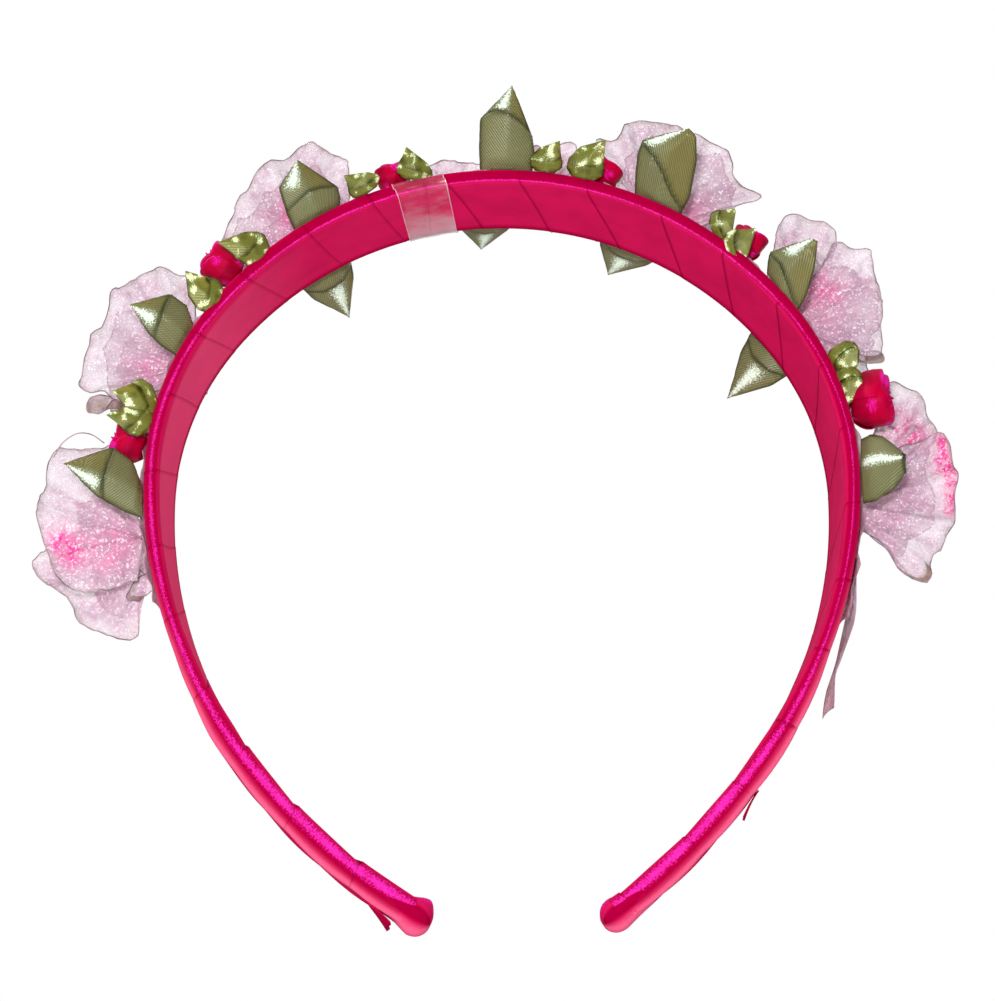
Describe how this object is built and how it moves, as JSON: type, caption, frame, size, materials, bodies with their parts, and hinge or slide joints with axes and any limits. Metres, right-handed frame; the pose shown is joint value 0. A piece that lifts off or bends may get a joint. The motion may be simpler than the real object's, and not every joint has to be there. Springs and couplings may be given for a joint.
{
  "type": "flower crown",
  "caption": "Satin-wrapped sprung hair band with organza ruffle flowers, rolled rosebuds and folded ribbon leaves along its crown.",
  "frame": {"origin": "centre of the band's round crown, the middle of the head it is worn on", "axes": "+Z to the top of the crown, +X to one ear, +Y across the band's width"},
  "size_m": [0.1536, 0.0425, 0.1459],
  "materials": {
    "satin_wrap": "satin ribbon",
    "former_plastic": "moulded",
    "organza_base": "sheer organza ribbon",
    "organza_ruffle": "sparkling organza",
    "leaf_satin": "satin ribbon",
    "small_leaf_satin": "satin ribbon",
    "rose_satin": "satin ribbon",
    "clear_tape": "clear",
    "set_glue": "translucent"
  },
  "bodies": {
    "crown": {"former_crown": "former_plastic", "wrap_crown_left": "satin_wrap", "wrap_crown_right": "satin_wrap", "base_ribbon": "organza_base", "ribbon_tail": "organza_base", "tape_loop": "clear_tape", "glue_dots": "set_glue", "flower_1": "organza_ruffle", "flower_2": "organza_ruffle", "flower_3": "organza_ruffle", "flower_4": "organza_ruffle", "flower_5": "organza_ruffle", "flower_6": "organza_ruffle", "flower_7": "organza_ruffle", "leaf_near_1": "leaf_satin", "leaf_near_2": "leaf_satin", "leaf_near_3": "leaf_satin", "leaf_near_4": "leaf_satin", "leaf_near_5": "leaf_satin", "leaf_near_6": "leaf_satin", "leaf_near_7": "leaf_satin", "leaf_far_1": "leaf_satin", "leaf_far_2": "leaf_satin", "leaf_far_3": "leaf_satin", "leaf_far_4": "leaf_satin", "leaf_far_5": "leaf_satin", "leaf_far_6": "leaf_satin", "leaf_far_7": "leaf_satin", "rosebud_1": "rose_satin", "rosebud_2": "rose_satin", "rosebud_3": "rose_satin", "rosebud_4": "rose_satin", "rosebud_5": "rose_satin", "rosebud_6": "rose_satin", "bud_leaves_1": "small_leaf_satin", "bud_leaves_2": "small_leaf_satin", "bud_leaves_3": "small_leaf_satin", "bud_leaves_4": "small_leaf_satin", "bud_leaves_5": "small_leaf_satin", "bud_leaves_6": "small_leaf_satin"},
    "left_arm": {"former_left_arm": "former_plastic", "wrap_left_arm": "satin_wrap", "tip_fold_left": "satin_wrap", "ribbon_end_left": "satin_wrap"},
    "right_arm": {"former_right_arm": "former_plastic", "wrap_right_arm": "satin_wrap", "tip_fold_right": "satin_wrap", "ribbon_end_right": "satin_wrap"}
  },
  "joints": [
    {"name": "left_arm_flex", "type": "hinge", "parent": "crown", "child": "left_arm", "pos_m": [-0.04978, 0, -0.02827], "axis": [0, 1, 0], "range_deg": [-4, 18], "stiffness_Nm_per_rad": 0.12},
    {"name": "right_arm_flex", "type": "hinge", "parent": "crown", "child": "right_arm", "pos_m": [0.04978, 0, -0.02827], "axis": [0, -1, 0], "range_deg": [-4, 18], "stiffness_Nm_per_rad": 0.12}
  ]
}
